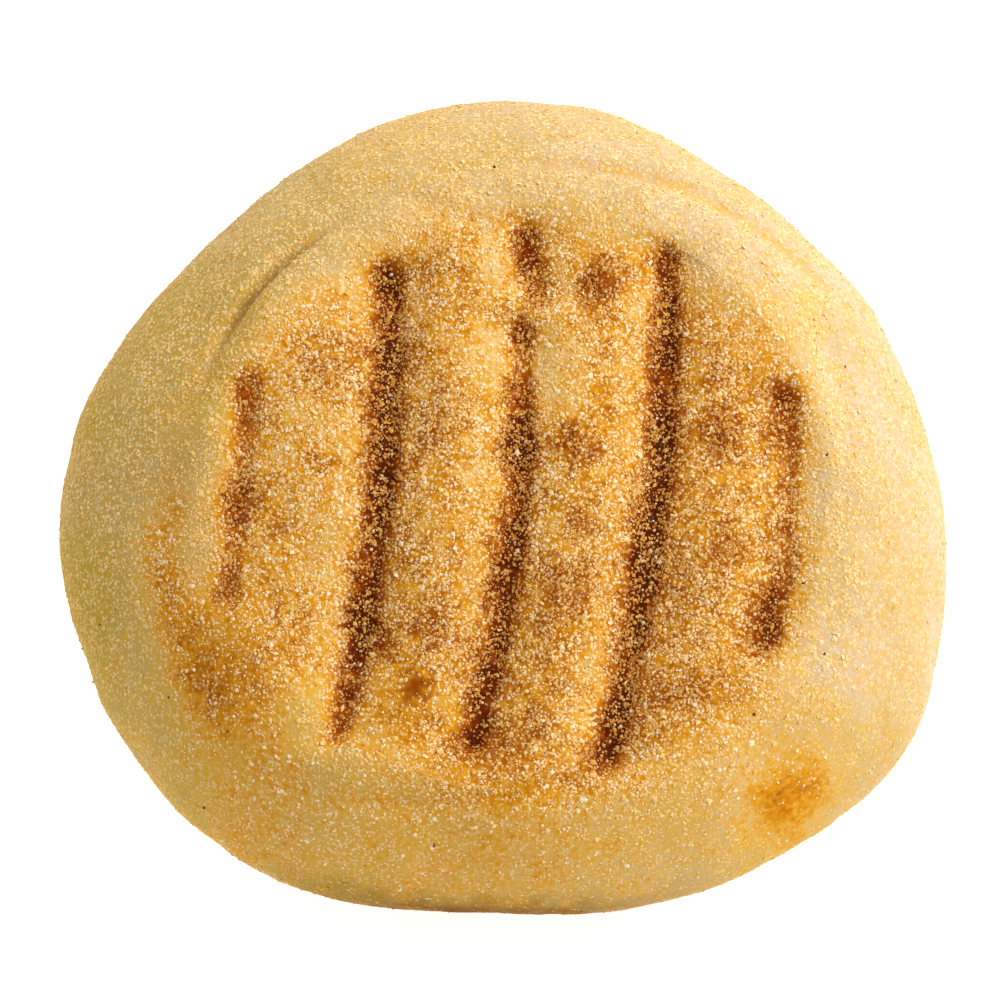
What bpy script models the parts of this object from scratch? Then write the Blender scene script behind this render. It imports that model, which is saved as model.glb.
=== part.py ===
"""Toasted english muffin: one uncut round of soft dough, pressed by a ribbed grill and dusted with cornmeal.

The muffin lies on its flat underside, and the shown face looks up. The origin is on the underside, in
the middle of the outline's box, with +Z up. Named sizes are in millimetres, and MM turns them into
metres where a mesh is made.
"""

import math

import bpy
import numpy as np
from mathutils import Matrix, Vector

MM = 0.001

# Outline at the widest height: a round with slow waves, each (waves round the edge, height, turn in degrees)
MEAN_RADIUS = 45.0
OUTLINE_WAVES = (
    (1, 1.69, 69.3),
    (2, 1.36, -0.4),
    (3, 1.67, 98.8),
    (4, 0.24, 102.3),
    (5, 0.5, -121.4),
    (6, 0.14, 69.5),
    (7, 0.18, 174.3),
    (8, 0.13, -148.0),
    (9, 0.1, -33.8),
    (10, 0.08, -3.0),
)

# Heights above the surface that it lies on
EQUATOR_HEIGHT = 15.5
FACE_EDGE_HEIGHT = 29.2
FACE_DOME = 1.9

# Flat toasted face and flat underside
FACE_RADIUS = 31.0
FACE_CENTRE = (2.4, -1.9)
FOOT_SHARE = 0.7
LOWER_POWER = 2.1
UPPER_POWER = 1.45

# Grill marks on the face, each (x and y of the far end, x and y of the near end, sideways bow, depth share)
GRILL_MARKS = (
    (-26.2, 11.7, -28.5, -13.3, 0.15, 0.6),
    (-11.8, 23.2, -17.3, -27.8, 2.0, 1.0),
    (2.4, 27.6, 3.7, 18.9, 0.0, 0.9),
    (1.9, 17.2, -3.2, -28.5, 1.8, 1.0),
    (17.2, 25.4, 10.6, -30.1, 2.1, 1.0),
    (29.5, 10.0, 26.6, -18.9, 1.6, 0.55),
)
TROUGH_DEPTH = 1.5
TROUGH_WIDTH = 3.8
MARK_DEPTH = 0.5
MARK_WIDTH = 1.2
MARK_FADE = 4.0

# The underside took the same grill, turned and shifted, so that flat dough lies on the axis
UNDERSIDE_TURN = math.radians(62.0)
UNDERSIDE_SHIFT = 7.2
UNDERSIDE_DEPTH = 1.0
UNDERSIDE_WIDTH = 1.7
UNDERSIDE_FLAT = 0.15

# Creases of the dough, each (x and y of the arc's centre, radius, first and last degree, depth, width)
CREASES = (
    (6.0, -2.6, 36.8, 42.0, 97.0, 0.95, 1.0),
    (1.0, 2.0, 35.2, 4.0, 32.0, 0.35, 1.3),
    (-23.6, -7.3, 40.0, 61.0, 74.0, 0.5, 1.5),
    (2.0, -3.0, 36.5, 124.0, 150.0, 1.4, 0.8),
    (2.0, -3.0, 37.0, 150.0, 190.0, 0.3, 2.8),
    (-7.0, 10.0, 44.0, 248.0, 296.0, 0.4, 1.2),
)
CREASE_FADE = 9.0
RIDGE_SHARE = 0.45
RIDGE_OFFSET = 2.6
RIDGE_WIDTH = 2.2

# Broad hollows and swellings, each (x, y, radius, height)
SWELLINGS = (
    (-25.0, -26.0, 7.0, 0.5),
    (34.0, -24.0, 6.5, 0.5),
    (-9.0, -38.0, 8.0, -0.5),
    (20.0, 36.0, 7.0, 0.4),
    (36.5, 14.0, 4.0, -0.4),
    (31.5, -3.0, 7.0, 0.45),
)

# Uneven dough, each (size of a lump, height, seed)
LUMPS = (
    (13.0, 0.45, 11),
    (5.5, 0.22, 12),
)
LUMP_LATTICE = 24

# Coarsest grains of cornmeal on the face and the sides
GRAIN_COUNT = 200
GRAIN_SIDES = 5
GRAIN_RADII = (0.36, 0.5)
GRAIN_STRETCH = (1.15, 0.95, 0.9)
GRAIN_UNEVEN = (0.9, 1.1)
GRAIN_GAP = 3.0
GRAIN_PROUD = 0.3
GRAIN_LOWEST = 5.0
GRAIN_SEED = 21

# Mesh of the dough before it is thinned out, and the triangles that are left
SECTORS = 288
UNDERSIDE_RINGS = 34
SHOULDER_RINGS = 20
FACE_RINGS = 46
LAST_STATION = 4.0
NORMAL_STEP = 1e-3
NEAR_AXIS = 1e-6
DOUGH_TRIANGLES = 6400
FLAT_WITHIN = 0.03

# Relief starts to show at these stations of the profile, from none to full
SIDE_RELIEF = (1.15, 1.7)
FACE_RELIEF = (2.1, 2.6)

CRUST_COLOUR = (0.72, 0.44, 0.13)
CRUST_ROUGHNESS = 0.75
SHARP_ANGLE = math.radians(40.0)


def clear_scene():
    for item in list(bpy.data.objects):
        bpy.data.objects.remove(item, do_unlink=True)


def material(name, colour, roughness):
    """A plain material of one colour for the solid."""
    made = bpy.data.materials.new(name)
    made.use_nodes = True
    shader = made.node_tree.nodes["Principled BSDF"]
    shader.inputs["Base Color"].default_value = (*colour, 1.0)
    shader.inputs["Roughness"].default_value = roughness
    shader.inputs["Metallic"].default_value = 0.0
    made.diffuse_color = (*colour, 1.0)
    return made


def smooth(value, low, high):
    """0 below low, 1 above high and an S curve between them."""
    share = np.clip((value - low) / (high - low), 0.0, 1.0)
    return share * share * (3.0 - 2.0 * share)


def soft_noise(x, y, z, cell, seed):
    """Smooth noise from -1 to 1: random values on a cube lattice, blended by S curves between its corners."""
    lattice = np.random.default_rng(seed).uniform(-1.0, 1.0, (LUMP_LATTICE,) * 3)
    total = np.zeros(np.broadcast(x, y, z).shape)
    places = [np.asarray(axis) / cell + LUMP_LATTICE for axis in (x, y, z)]
    corners = [np.floor(place).astype(int) for place in places]
    shares = [smooth(place - corner, 0.0, 1.0) for place, corner in zip(places, corners)]
    for step in np.ndindex(2, 2, 2):
        weight = 1.0
        for share, forward in zip(shares, step):
            weight = weight * (share if forward else 1.0 - share)
        index = tuple((corner + forward) % LUMP_LATTICE for corner, forward in zip(corners, step))
        total = total + weight * lattice[index]
    return total


def outline_radius(angle):
    """Radius at the widest height: the mean radius with the outline's waves added."""
    radius = MEAN_RADIUS
    for count, height, turn in OUTLINE_WAVES:
        radius = radius + height * np.cos(count * angle + math.radians(turn))
    return radius


def face_radius(angle):
    """Distance from the axis to the edge of the flat face, which is a circle beside the axis."""
    along = FACE_CENTRE[0] * np.cos(angle) + FACE_CENTRE[1] * np.sin(angle)
    aside = FACE_CENTRE[0] ** 2 + FACE_CENTRE[1] ** 2 - along**2
    return along + np.sqrt(FACE_RADIUS**2 - aside)


def foot_radius(angle):
    """Distance from the axis to the edge of the flat underside."""
    return FOOT_SHARE * outline_radius(angle)


def grill_bars(x, y):
    """For each grill bar, how hard it pressed at these places and their distance from its middle line."""
    for x_far, y_far, x_near, y_near, bow, share in GRILL_MARKS:
        along = (y - y_near) / (y_far - y_near)
        middle = x_near + (x_far - x_near) * along + 4.0 * bow * along * (1.0 - along)
        begun = smooth(y, y_near - MARK_FADE / 2, y_near + MARK_FADE / 2)
        ended = smooth(y, y_far - MARK_FADE / 2, y_far + MARK_FADE / 2)
        yield share * begun * (1.0 - ended), x - middle


def grill_marks(x, y):
    """Depth pressed into the face: a broad trough with a narrow mark along its middle for each bar."""
    depth = np.zeros(np.broadcast(x, y).shape)
    for pressed, across in grill_bars(x, y):
        trough = TROUGH_DEPTH * np.exp(-((across / TROUGH_WIDTH) ** 2))
        mark = MARK_DEPTH * np.exp(-((across / MARK_WIDTH) ** 2))
        depth = depth + pressed * (trough + mark)
    return depth


def underside_marks(x, y):
    """Depth pressed into the underside: one mark for each bar, with flat dough left between them."""
    turned_x = x * math.cos(UNDERSIDE_TURN) + y * math.sin(UNDERSIDE_TURN) + UNDERSIDE_SHIFT
    turned_y = y * math.cos(UNDERSIDE_TURN) - x * math.sin(UNDERSIDE_TURN)
    depth = np.zeros(np.broadcast(x, y).shape)
    for pressed, across in grill_bars(turned_x, turned_y):
        mark = pressed * np.exp(-((across / UNDERSIDE_WIDTH) ** 2))
        depth = depth + UNDERSIDE_DEPTH * np.clip(mark - UNDERSIDE_FLAT, 0.0, None)
    return depth


def creases(x, y):
    """Height of the creases: a groove along each arc, with the dough raised in a ridge just inside it."""
    height = np.zeros(np.broadcast(x, y).shape)
    for centre_x, centre_y, radius, first, last, depth, width in CREASES:
        outwards = np.hypot(x - centre_x, y - centre_y) - radius
        turn = np.degrees(np.arctan2(y - centre_y, x - centre_x))
        turn = (turn - (first + last) / 2 + 180.0) % 360.0 - 180.0
        reach = (last - first) / 2
        inside = 1.0 - smooth(np.abs(turn), reach - CREASE_FADE, reach + CREASE_FADE)
        groove = np.exp(-((outwards / width) ** 2))
        ridge = np.exp(-(((outwards + RIDGE_OFFSET) / RIDGE_WIDTH) ** 2))
        height = height + depth * inside * (RIDGE_SHARE * ridge - groove)
    return height


def swellings(x, y):
    """Height of the broad hollows and swellings, each a round bell."""
    height = np.zeros(np.broadcast(x, y).shape)
    for centre_x, centre_y, radius, rise in SWELLINGS:
        height = height + rise * np.exp(-((x - centre_x) ** 2 + (y - centre_y) ** 2) / radius**2)
    return height


def lumps(x, y, z):
    """Height of the uneven dough: noise at a few sizes."""
    height = 0.0
    for cell, rise, seed in LUMPS:
        height = height + rise * soft_noise(x, y, z, cell, seed)
    return height


def profile(angle, station):
    """Distance from the axis and height of the plain form, rows by station and columns by angle.

    Station 0 to 1 runs out over the flat underside, 1 to 2 up the lower shoulder and 2 to 3 up the upper
    one, each a quarter of a superellipse, and 3 to 4 in over the domed face.
    """
    outline, face, foot = outline_radius(angle), face_radius(angle), foot_radius(angle)
    low_power, high_power = 2.0 / LOWER_POWER, 2.0 / UPPER_POWER
    low_turn = np.clip(station - 1.0, 0.0, 1.0) * math.pi / 2
    high_turn = np.clip(station - 2.0, 0.0, 1.0) * math.pi / 2
    under = foot * np.clip(station, 0.0, 1.0)
    lower = foot + (outline - foot) * np.sin(low_turn) ** low_power
    upper = face + (outline - face) * np.clip(np.cos(high_turn), 0.0, 1.0) ** high_power
    over = face * np.clip(LAST_STATION - station, 0.0, 1.0)
    distance = np.select([station <= 1.0, station <= 2.0, station <= 3.0], [under, lower, upper], over)
    rise = EQUATOR_HEIGHT * (1.0 - np.clip(np.cos(low_turn), 0.0, 1.0) ** low_power)
    rise = rise + (FACE_EDGE_HEIGHT - EQUATOR_HEIGHT) * np.sin(high_turn) ** high_power
    dome = FACE_DOME * np.cos(math.pi / 2 * over / face) ** 2
    return distance, rise + np.where(station > 3.0, dome, 0.0)


def stations():
    """The stations of the mesh's rings, without the two middles."""
    under = np.linspace(0.0, 1.0, UNDERSIDE_RINGS + 1)[1:]
    lower = np.linspace(1.0, 2.0, SHOULDER_RINGS + 1)[1:]
    upper = np.linspace(2.0, 3.0, SHOULDER_RINGS + 1)[1:]
    over = np.linspace(3.0, LAST_STATION, FACE_RINGS + 1)[1:-1]
    return np.concatenate([under, lower, upper, over])


def surface(angle, station):
    """Points of the dough: the plain form with marks, creases, swellings and lumps added along its normal."""
    distance, height = profile(angle, station)
    ahead, ahead_height = profile(angle, np.clip(station + NORMAL_STEP, 0.0, LAST_STATION))
    behind, behind_height = profile(angle, np.clip(station - NORMAL_STEP, 0.0, LAST_STATION))
    run, climb = ahead - behind, ahead_height - behind_height
    length = np.hypot(run, climb)
    out, up = climb / length, -run / length
    x, y = distance * np.cos(angle), distance * np.sin(angle)
    relief = smooth(station, *FACE_RELIEF) * (creases(x, y) + swellings(x, y) - grill_marks(x, y))
    relief = relief + smooth(station, *SIDE_RELIEF) * lumps(x, y, height)
    distance = distance + out * relief
    height = height + up * relief + (station < 1.0) * underside_marks(x, y)
    return np.stack([distance * np.cos(angle), distance * np.sin(angle), height], axis=-1)


def dough_arrays():
    """Points and faces of the closed dough: rings from the underside's middle to the face's middle."""
    angle = np.arange(SECTORS) * 2 * math.pi / SECTORS
    rings = surface(angle[None, :], stations()[:, None])
    count = len(rings)
    middles = surface(np.zeros(1), np.array([NEAR_AXIS, LAST_STATION - NEAR_AXIS]))
    middles[:, :2] = 0.0
    points = np.concatenate([rings.reshape(-1, 3), middles])
    here = np.arange(SECTORS)
    after = (here + 1) % SECTORS
    faces = []
    for ring in range(count - 1):
        low, high = ring * SECTORS, (ring + 1) * SECTORS
        faces += np.stack([low + here, low + after, high + after, high + here], axis=1).tolist()
    under, over = count * SECTORS, count * SECTORS + 1
    last = (count - 1) * SECTORS
    faces += np.stack([np.full(SECTORS, under), after, here], axis=1).tolist()
    faces += np.stack([last + here, last + after, np.full(SECTORS, over)], axis=1).tolist()
    return points, faces


def add_object(name, mesh):
    made = bpy.data.objects.new(name, mesh)
    bpy.context.scene.collection.objects.link(made)
    return made


def bake_modifiers(owner):
    """Replaces the object's mesh by what its modifiers make of it."""
    graph = bpy.context.evaluated_depsgraph_get()
    baked = bpy.data.meshes.new_from_object(owner.evaluated_get(graph))
    owner.modifiers.clear()
    owner.data = baked
    return baked


def flatten_foot(mesh):
    """Sets what thinning lifted or sank by a hair back onto the flat underside."""
    for vertex in mesh.vertices:
        if abs(vertex.co.z) < FLAT_WITHIN * MM:
            vertex.co.z = 0.0


def make_dough():
    """The muffin without its grains, thinned out to the triangles it may have."""
    points, faces = dough_arrays()
    mesh = bpy.data.meshes.new("muffin")
    mesh.from_pydata((points * MM).tolist(), [], faces)
    dough = add_object("muffin", mesh)
    triangles = sum(len(face) - 2 for face in faces)
    thin = dough.modifiers.new("thin_out", "DECIMATE")
    thin.ratio = DOUGH_TRIANGLES / triangles
    thin.use_collapse_triangulate = True
    flatten_foot(bake_modifiers(dough))
    return dough


def grain_places(mesh):
    """Seeded places for the grains, with their normals: spread evenly by area, none closer than the gap."""
    draw = np.random.default_rng(GRAIN_SEED)
    areas = np.array([face.area for face in mesh.polygons])
    found = []
    while len(found) < GRAIN_COUNT:
        face = mesh.polygons[draw.choice(len(areas), p=areas / areas.sum())]
        corners = [mesh.vertices[index].co for index in face.vertices]
        shares = draw.dirichlet((1.0, 1.0, 1.0))
        place = sum((corner * share for corner, share in zip(corners, shares)), Vector())
        too_low = place.z < GRAIN_LOWEST * MM
        if too_low or any((place - other).length < GRAIN_GAP * MM for other, _ in found):
            continue
        found.append((place, face.normal.copy()))
    return found


def grain_mesh(draw, radius):
    """One grain: a ring of uneven corners with a blunt point at each end, longer than it is thick."""
    turn = np.arange(GRAIN_SIDES) * math.tau / GRAIN_SIDES
    ring = np.stack([np.cos(turn), np.sin(turn), np.zeros(GRAIN_SIDES)], axis=1)
    points = np.concatenate([ring, [(0.0, 0.0, 1.0), (0.0, 0.0, -1.0)]]) * GRAIN_STRETCH
    points = points * draw.uniform(*GRAIN_UNEVEN, (len(points), 1)) * radius
    upper, lower = GRAIN_SIDES, GRAIN_SIDES + 1
    faces = []
    for side in range(GRAIN_SIDES):
        after = (side + 1) % GRAIN_SIDES
        faces += [(side, after, upper), (after, side, lower)]
    mesh = bpy.data.meshes.new("grain")
    mesh.from_pydata(points.tolist(), [], faces)
    return mesh


def make_grains(dough):
    """The coarsest grains, each turned at random and set into the dough, in a collection of their own."""
    grains = bpy.data.collections.new("cornmeal")
    bpy.context.scene.collection.children.link(grains)
    draw = np.random.default_rng(GRAIN_SEED + 1)
    for place, normal in grain_places(dough.data):
        radius = draw.uniform(*GRAIN_RADII) * MM
        mesh = grain_mesh(draw, radius)
        turn = Matrix.Rotation(draw.uniform(0.0, math.tau), 4, Vector(draw.normal(size=3)).normalized())
        grain = bpy.data.objects.new("grain", mesh)
        grain.matrix_world = Matrix.Translation(place + normal * GRAIN_PROUD * radius) @ turn
        grains.objects.link(grain)
    return grains


def fuse(dough, grains):
    """One union of the dough with all its grains, after which the grains' objects go."""
    join = dough.modifiers.new("fuse_grains", "BOOLEAN")
    join.operation = "UNION"
    join.solver = "EXACT"
    join.operand_type = "COLLECTION"
    join.collection = grains
    bpy.context.view_layer.update()
    bake_modifiers(dough)
    for grain in list(grains.objects):
        bpy.data.objects.remove(grain, do_unlink=True)
    bpy.data.collections.remove(grains)


def centre_on_base(mesh):
    """Shifts the mesh so that its box is centred over the origin, with the flat underside at zero."""
    points = np.empty(len(mesh.vertices) * 3, np.float32)
    mesh.vertices.foreach_get("co", points)
    low, high = points.reshape(-1, 3).min(axis=0), points.reshape(-1, 3).max(axis=0)
    middle = (low.astype(float) + high.astype(float)) / 2
    mesh.transform(Matrix.Translation((-middle[0], -middle[1], 0.0)))


def main():
    clear_scene()
    dough = make_dough()
    fuse(dough, make_grains(dough))
    centre_on_base(dough.data)
    dough.data.materials.clear()
    dough.data.materials.append(material("toasted_crust", CRUST_COLOUR, CRUST_ROUGHNESS))
    dough.data.shade_smooth()
    dough.data.set_sharp_from_angle(angle=SHARP_ANGLE)


main()
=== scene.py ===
"""Toasted english muffin: one uncut round of soft dough, marked by a ribbed grill and dusted with cornmeal.

The file is laid out as an add-on and runs as a script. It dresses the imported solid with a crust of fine
relief and with the cornmeal at true size, and sets a plain studio round them. Lengths in the tables below
are millimetres in the muffin's own frame, and MM turns them into metres where a mesh is made.
"""

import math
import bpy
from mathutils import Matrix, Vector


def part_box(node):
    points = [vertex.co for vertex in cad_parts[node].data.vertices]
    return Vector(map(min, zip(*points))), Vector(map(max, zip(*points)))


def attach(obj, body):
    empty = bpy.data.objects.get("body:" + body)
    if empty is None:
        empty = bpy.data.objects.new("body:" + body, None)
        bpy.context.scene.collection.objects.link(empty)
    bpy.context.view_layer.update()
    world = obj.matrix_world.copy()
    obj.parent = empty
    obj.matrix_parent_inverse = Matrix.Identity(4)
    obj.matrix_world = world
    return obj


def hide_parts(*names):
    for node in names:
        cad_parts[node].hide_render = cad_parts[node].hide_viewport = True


bl_info = {
    "name": "Toasted English Muffin",
    "version": (1, 0, 0),
    "blender": (4, 5, 0),
    "location": "View3D > Sidebar > Muffin",
    "description": "Builds a grill-toasted english muffin dusted with cornmeal, on a pale studio floor",
    "category": "Add Mesh",
}

from functools import partial
from types import SimpleNamespace

import bpy
import numpy as np
from mathutils import Vector

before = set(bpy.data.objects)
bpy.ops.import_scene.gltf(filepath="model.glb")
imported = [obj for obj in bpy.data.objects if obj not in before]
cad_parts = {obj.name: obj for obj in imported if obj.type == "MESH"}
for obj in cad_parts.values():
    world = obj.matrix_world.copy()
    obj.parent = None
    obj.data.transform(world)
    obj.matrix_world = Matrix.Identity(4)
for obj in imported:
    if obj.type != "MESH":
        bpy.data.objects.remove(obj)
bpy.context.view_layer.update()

MM = 0.001
BODY = "root"
NODE = "muffin"
BAKE_MAP = "OFBake"

# Outline at the widest height: a round with slow waves, each (waves round the edge, height, turn in degrees)
OUTLINE_WAVES = (
    (1, 1.69, 69.3), (2, 1.36, -0.4), (3, 1.67, 98.8), (4, 0.24, 102.3), (5, 0.5, -121.4),
    (6, 0.14, 69.5), (7, 0.18, 174.3), (8, 0.13, -148.0), (9, 0.1, -33.8), (10, 0.08, -3.0),
)

# The face's middle, the flat foot's share of the outline, and the powers of the sides' superellipses
FACE_CENTRE = (2.4, -1.9)
FOOT_SHARE = 0.7
LOWER_POWER = 2.1
UPPER_POWER = 1.45

# Grill marks on the face, each (x and y of the far end, x and y of the near end, sideways bow, depth share),
# and over what length their ends fade
GRILL_MARKS = (
    (-26.2, 11.7, -28.5, -13.3, 0.15, 0.6),
    (-11.8, 23.2, -17.3, -27.8, 2.0, 1.0),
    (2.4, 27.6, 3.7, 18.9, 0.0, 0.9),
    (1.9, 17.2, -3.2, -28.5, 1.8, 1.0),
    (17.2, 25.4, 10.6, -30.1, 2.1, 1.0),
    (29.5, 10.0, 26.6, -18.9, 1.6, 0.55),
)
MARK_FADE = 4.0

# The underside took the same grill, turned and shifted: how deep and wide its marks are, what pressed too
# little to show, and how far the dough stands up on its grains
UNDERSIDE_TURN = math.radians(62.0)
UNDERSIDE_SHIFT = 7.2
UNDERSIDE_DEPTH = 1.0
UNDERSIDE_WIDTH = 1.7
UNDERSIDE_FLAT = 0.15
UNDERSIDE_LIFT = 0.12

# Creases of the dough, each (x and y of the arc's centre, radius, first and last degree, depth, width), the
# degrees over which their ends fade, and the ridge along each, as a share of its depth, inwards by an offset
CREASES = (
    (6.0, -2.6, 36.8, 42.0, 97.0, 0.95, 1.0),
    (1.0, 2.0, 35.2, 4.0, 32.0, 0.35, 1.3),
    (-23.6, -7.3, 40.0, 61.0, 74.0, 0.5, 1.5),
    (2.0, -3.0, 36.5, 124.0, 150.0, 1.4, 0.8),
    (2.0, -3.0, 37.0, 150.0, 190.0, 0.3, 2.8),
    (-7.0, 10.0, 44.0, 248.0, 296.0, 0.4, 1.2),
)
CREASE_FADE = 9.0
RIDGE_SHARE = 0.45
RIDGE_OFFSET = 2.6
RIDGE_WIDTH = 2.2

# Broad hollows and swellings, each (x, y, radius, height)
SWELLINGS = (
    (-25.0, -26.0, 7.0, 0.5), (34.0, -24.0, 6.5, 0.5), (-9.0, -38.0, 8.0, -0.5),
    (20.0, 36.0, 7.0, 0.4), (36.5, 14.0, 4.0, -0.4), (31.5, -3.0, 7.0, 0.45),
)

# Uneven dough, each (size of a lump, height, seed): what the solid has, its finer skin, and their lattices
LUMPS = ((13.0, 0.45, 11), (5.5, 0.22, 12))
SKIN = ((2.6, 0.08, 13), (1.3, 0.05, 14))
LUMP_LATTICE = 24
FINE_LATTICE = 64

# Stations of the profile: the widest height, the last one, the step over which a slope is taken, and where
# the relief and meal's zones fade in, or the underside's zone fades out
WIDEST = 2.0
LAST_STATION = 4.0
STEP = 1e-3
SIDE_RELIEF = (1.15, 1.7)
FACE_RELIEF = (2.1, 2.6)
FACE_ZONE = (2.5, 2.95)
UPPER_ZONE = (1.6, 2.1)
UNDER_ZONE = (0.95, 1.1)

# Rings of the crust's grid along the underside, the lower side, the upper side and the face, and its columns
RINGS = (34, 34, 54, 94)
SECTORS = 448

# Noise that makes all browning ragged, each (size of a tongue, height, seed)
RAGGED = ((4.6, 0.09, 31), (1.7, 0.09, 32), (0.9, 0.08, 33))

# How toasted the plain face and underside are, how far that reaches, between which shares of the reach it
# falls off, how ragged that edge is, and how ragged the level is on bare dough and what toast adds to that
FACE_TOAST = 0.37
TOAST_REACH = 31.5
UNDER_TOAST_REACH = 33.0
TOAST_EDGE = (0.84, 1.12)
TOAST_EDGE_RAGGED = 0.25
LEVEL_RAGGED = (0.25, 0.75)

# Along a grill mark its fringe and its paler flank, each (level, width, shift), then its core (level, width,
# edge), how steeply that grows with the bar's pressure, and how ragged are its level and its edge
BANDS = ((0.22, 1.6, -0.6), (-0.08, 1.6, -4.2))
CORE = (0.42, 1.5, 2.4)
CORE_PRESSURE = 1.3
CORE_RAGGED = (2.2, 2.0)

# What a crease adds, a browned line that also paints the shade in its groove, the station where the
# underside's toast ends, and those where the spots fade in
CREASE_SHADE_TOAST = 0.13
UNDER_ENDS = 1.5
SPOTS_BEGIN = (1.6, 2.0)

# Browned rim of the underside, each all round and what the front adds: its level, its upper edge and how far
# that fades, as stations; then where it begins, and how ragged its level and edge are
RIM_TOAST = (0.24, 0.14)
RIM_EDGE = (1.5, 0.6)
RIM_FADE = (0.3, 0.05)
RIM_BEGINS = (0.75, 1.1)
RIM_RAGGED = (1.1, 0.6)

# The front, whose lower side is browned most and darkened most by painted shade: its middle, full and last
# turn in degrees
FRONT = (266.0, 4.0, 44.0)

# Painted shade on the dough: at the front, where the lower side curves away under, its level and its stations
# from none to full and back; in a crease, its depth past the first value times the second; and in broad
# places on the left slope, each (x, y, radius, level)
FRONT_PAINTED_SHADE = (0.74, (1.0, 1.95), (2.0, 2.34))
CREASE_PAINTED_SHADE = (0.9, 0.8)
PAINTED_SHADE_PLACES = ((-33.0, 2.0, 5.0, 0.22), (-31.0, 12.0, 4.0, 0.12), (-34.5, -8.0, 4.0, 0.05))

# Spots toasted more or less than their surroundings, along the grill marks too, each (x, y, radius, added)
TOASTED_SPOTS = (
    (-9.2, -22.3, 1.6, 0.18), (9.5, 20.1, 2.2, 0.28), (12.0, 21.6, 2.6, 0.2),
    (22.5, 5.0, 3.0, 0.2), (7.6, 3.8, 2.2, 0.22), (8.5, -4.8, 1.8, 0.18),
    (6.9, -12.0, 3.2, 0.2), (-5.4, 5.8, 3.0, 0.14), (-7.5, -15.6, 2.4, 0.2),
    (-19.4, 1.8, 1.6, 0.2), (22.8, -7.5, 2.2, 0.2), (-16.9, 13.1, 2.6, 0.14),
    (-13.1, -17.0, 2.0, 0.3), (29.0, -33.4, 3.0, 0.2), (32.2, -30.4, 2.4, 0.16),
    (-36.6, -6.0, 2.4, 0.14), (-35.0, -9.6, 3.2, 0.24), (-33.8, -13.4, 3.2, 0.2),
    (-32.6, -17.3, 3.0, 0.15), (-31.6, -20.8, 3.0, 0.12), (-29.8, -23.8, 3.0, 0.08),
    (-36.0, -24.0, 9.0, 0.08), (-29.5, -14.0, 4.6, 0.16), (-27.0, -21.0, 5.0, 0.28),
    (-24.6, -26.5, 4.0, 0.08), (-21.5, -29.0, 3.6, 0.05), (-16.0, -30.0, 4.4, 0.03),
    (-26.0, -35.0, 7.0, 0.1), (30.5, 18.5, 3.0, 0.1), (-14.0, -38.0, 13.0, 0.16),
    (8.0, -38.0, 12.0, 0.14), (25.0, -36.0, 9.0, 0.1), (-26.2, 9.8, 2.4, 0.18),
    (-27.0, 3.0, 2.5, -0.06), (-27.6, -2.1, 2.4, 0.18), (-28.2, -8.5, 3.0, -0.04),
    (-11.6, 20.2, 2.2, 0.16), (-12.0, 14.9, 2.4, -0.1), (-13.2, 0.5, 4.0, 0.14),
    (-14.6, -13.3, 2.4, 0.18), (-16.0, -21.2, 3.2, -0.24), (-17.2, -26.0, 3.0, -0.16),
    (2.4, 11.5, 4.2, -0.3), (1.9, 2.6, 2.2, 0.16), (-2.2, -23.0, 3.0, -0.12),
    (17.6, 20.5, 4.4, -0.14), (16.6, 4.5, 2.6, 0.2), (14.2, -9.5, 4.0, 0.1),
    (11.3, -23.5, 4.0, -0.14), (29.4, 8.9, 2.0, 0.2), (30.3, -0.6, 3.8, -0.2),
    (27.0, -15.9, 2.4, 0.2), (0.0, 22.0, 3.0, -0.1), (6.0, 12.0, 4.0, -0.12),
    (-20.5, -9.0, 3.4, -0.1), (19.8, 2.0, 2.2, -0.1), (19.0, -5.0, 2.4, -0.12),
    (35.5, -4.0, 6.0, -0.06), (-22.9, 16.8, 4.0, 0.1), (-2.0, -40.0, 12.0, 0.05),
    (-30.0, -33.0, 9.0, 0.05), (-11.0, 36.5, 8.0, 0.1), (-32.5, 6.0, 3.6, 0.14),
    (-33.5, -3.0, 4.0, 0.18), (-30.5, 12.5, 3.0, 0.1), (28.0, -27.0, 9.0, 0.12),
    (-14.0, -27.0, 5.0, -0.06), (-21.0, -8.0, 5.0, -0.06), (-21.5, 4.0, 6.0, -0.1),
    (-8.0, -26.5, 5.0, -0.1), (6.0, 26.0, 8.0, -0.08), (-14.0, 22.0, 6.0, -0.06),
)

# Flakes of bran in the dough, each (x, y), then their size, its spread, how far they stand up, their streaks'
# width, and the length of the table that their stations are read from
BRAN = (
    (-28.3, -25.9), (-34.7, -22.0), (-42.1, -13.6), (-31.0, -32.8),
    (-7.2, -37.9), (25.7, -24.7), (36.1, 13.0), (-31.7, 19.6),
    (31.0, -11.0), (33.5, 2.5), (32.9, -18.2), (34.1, -16.0),
    (-0.9, 34.0),
)
BRAN_RADIUS = 0.17
BRAN_SPREAD = (0.8, 1.3)
BRAN_PROUD = 0.2
BRAN_STREAK = 0.12
BRAN_SIDES = 5
BRAN_SEED = 45
TABLE_LENGTH = 400

# Kinds of cornmeal: name, usual radius, spread of the radii, how far they stand up, seed and the density on
# the face, the upper side, the lower side and the underside
CORNMEAL = (
    ("cornmeal_face", 0.17, 0.3, 0.05, 41, (1.0, 0.0, 0.0, 0.0)),
    ("cornmeal_sides", 0.12, 0.35, -0.1, 42, (0.0, 1.0, 0.25, 0.0)),
    ("cornmeal_fine", 0.13, 0.25, 0.05, 43, (1.0, 0.3, 0.0, 0.0)),
    ("cornmeal_coarse", 0.155, 0.3, -0.05, 44, (0.0, 0.9, 0.4, 0.6)),
)

# Grains of a kind, corners round a grain, limits of its radius, the cells that hold one grain each, and how
# many are drawn for each that stays
GRAINS = 24800
GRAIN_SIDES = 4
RADIUS_LIMITS = (0.06, 0.38)
GRAIN_GAP = 0.22
DRAWN_PER_GRAIN = 3

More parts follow.
